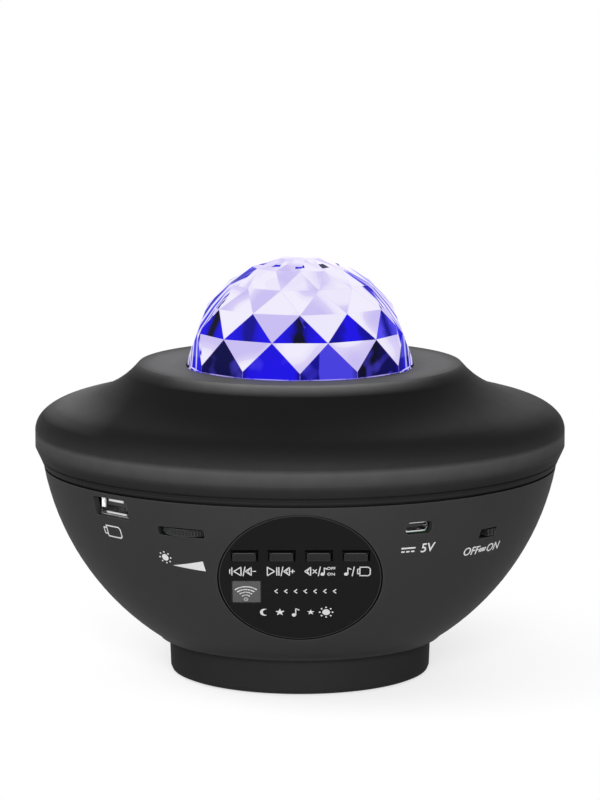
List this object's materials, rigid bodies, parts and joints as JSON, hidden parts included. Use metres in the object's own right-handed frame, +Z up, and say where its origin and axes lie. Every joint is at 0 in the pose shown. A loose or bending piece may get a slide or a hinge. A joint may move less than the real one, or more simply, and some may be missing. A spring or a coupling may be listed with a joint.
{
  "type": "star night light projector",
  "caption": "Bowl-shaped night light projector with a faceted dome lens, tilted keypad panel, side sockets, dimmer wheel and a down-firing speaker in its foot.",
  "frame": {"origin": "centre of the foot, on the plane that its rubber pads stand on", "axes": "+Z up through the dome, -Y out of the front, over the keypad panel, +X to the right of someone facing the front"},
  "size_m": [0.165, 0.165, 0.13],
  "materials": {
    "black_plastic": "satin, fine moulded texture",
    "panel_plastic": "smooth matt with printed legends",
    "key_plastic": "satin",
    "window_plastic": "smooth dark pane",
    "rubber": "matt",
    "clear_acrylic": "clear, cut facets",
    "inner_plastic": "matt",
    "gear_plastic": "acetal",
    "socket_plastic": "matt",
    "component": "matt",
    "circuit_board": "solder mask",
    "plated_steel": "nickel plated",
    "painted_steel": "black enamel",
    "magnet": "sintered ferrite",
    "cone_plastic": "pressed paper, coated",
    "aluminium": "anodised",
    "brass": "turned",
    "lamp_lens": "clear"
  },
  "bodies": {
    "housing": {"base_foot": "black_plastic", "base_screws": "plated_steel", "board_screws": "plated_steel", "bowl_shell": "black_plastic", "chassis_screws": "plated_steel", "condenser_lens": "lamp_lens", "control_panel": "panel_plastic", "dimmer_pot": "component", "dome_lens": "clear_acrylic", "dome_retainer": "inner_plastic", "gear_motor": "plated_steel", "heat_sink": "aluminium", "ir_receiver": "component", "ir_window": "window_plastic", "key_board": "circuit_board", "key_board_screws": "plated_steel", "lamp_chassis": "inner_plastic", "laser_module": "brass", "led_board": "aluminium", "led_board_screws": "plated_steel", "led_emitters": "lamp_lens", "lens_holder": "inner_plastic", "main_board": "circuit_board", "micro_usb_shell": "plated_steel", "micro_usb_tongue": "socket_plastic", "motor_screws": "plated_steel", "power_switch_body": "component", "retainer_screws": "plated_steel", "rubber_feet": "rubber", "speaker_frame": "painted_steel", "speaker_magnet": "magnet", "speaker_screws": "plated_steel", "speaker_surround": "rubber", "speaker_yoke": "plated_steel", "tact_switch_mode": "component", "tact_switch_mute": "component", "tact_switch_play": "component", "tact_switch_previous": "component", "top_cover": "black_plastic", "tower_screws": "plated_steel", "usb_a_shell": "plated_steel", "usb_a_tongue": "socket_plastic"},
    "dimmer_wheel": {"dimmer_wheel": "key_plastic"},
    "power_knob": {"power_switch_knob": "key_plastic"},
    "ripple_disc": {"ripple_gear": "gear_plastic", "ripple_lens": "lamp_lens"},
    "grating_disc": {"grating_gear": "gear_plastic", "star_grating": "lamp_lens"},
    "motor_rotor": {"drive_pinion": "gear_plastic", "motor_shaft": "plated_steel"},
    "speaker_cone": {"speaker_cone": "cone_plastic"},
    "button_previous": {"button_previous": "key_plastic", "tact_plunger_previous": "key_plastic"},
    "button_play": {"button_play": "key_plastic", "tact_plunger_play": "key_plastic"},
    "button_mute": {"button_mute": "key_plastic", "tact_plunger_mute": "key_plastic"},
    "button_mode": {"button_mode": "key_plastic", "tact_plunger_mode": "key_plastic"}
  },
  "joints": [
    {"name": "press_previous", "type": "slide", "parent": "housing", "child": "button_previous", "axis": [0, 0.8686, 0.4955], "range_m": [0, 0.0003], "stiffness_N_per_m": 1500},
    {"name": "press_play", "type": "slide", "parent": "housing", "child": "button_play", "axis": [0, 0.8686, 0.4955], "range_m": [0, 0.0003], "stiffness_N_per_m": 1500},
    {"name": "press_mute", "type": "slide", "parent": "housing", "child": "button_mute", "axis": [0, 0.8686, 0.4955], "range_m": [0, 0.0003], "stiffness_N_per_m": 1500},
    {"name": "press_mode", "type": "slide", "parent": "housing", "child": "button_mode", "axis": [0, 0.8686, 0.4955], "range_m": [0, 0.0003], "stiffness_N_per_m": 1500},
    {"name": "dimmer_turn", "type": "hinge", "parent": "housing", "child": "dimmer_wheel", "pos_m": [-0.03163, -0.06182, 0.0563], "axis": [0, 0, 1], "range_deg": [-130, 130]},
    {"name": "power_slide", "type": "slide", "parent": "housing", "child": "power_knob", "axis": [0.6756, 0.7373, 0], "range_m": [-0.003, 0]},
    {"name": "ripple_spin", "type": "hinge", "parent": "housing", "child": "ripple_disc", "pos_m": [-0.008, 0, 0.08275], "axis": [0, 0, 1], "continuous": true},
    {"name": "grating_spin", "type": "hinge", "parent": "housing", "child": "grating_disc", "pos_m": [0.0224, 0, 0.08275], "axis": [0, 0, 1], "continuous": true},
    {"name": "motor_spin", "type": "hinge", "parent": "housing", "child": "motor_rotor", "pos_m": [-0.01789, 0.02448, 0.08275], "axis": [0, 0, 1], "continuous": true},
    {"name": "cone_stroke", "type": "slide", "parent": "housing", "child": "speaker_cone", "axis": [0, 0, 1], "range_m": [-0.0008, 0.0008], "stiffness_N_per_m": 1500}
  ],
  "couplings": [
    {"joint": "grating_spin", "follows": "ripple_spin", "ratio": -2.1667},
    {"joint": "motor_spin", "follows": "ripple_spin", "ratio": -3.7143}
  ]
}
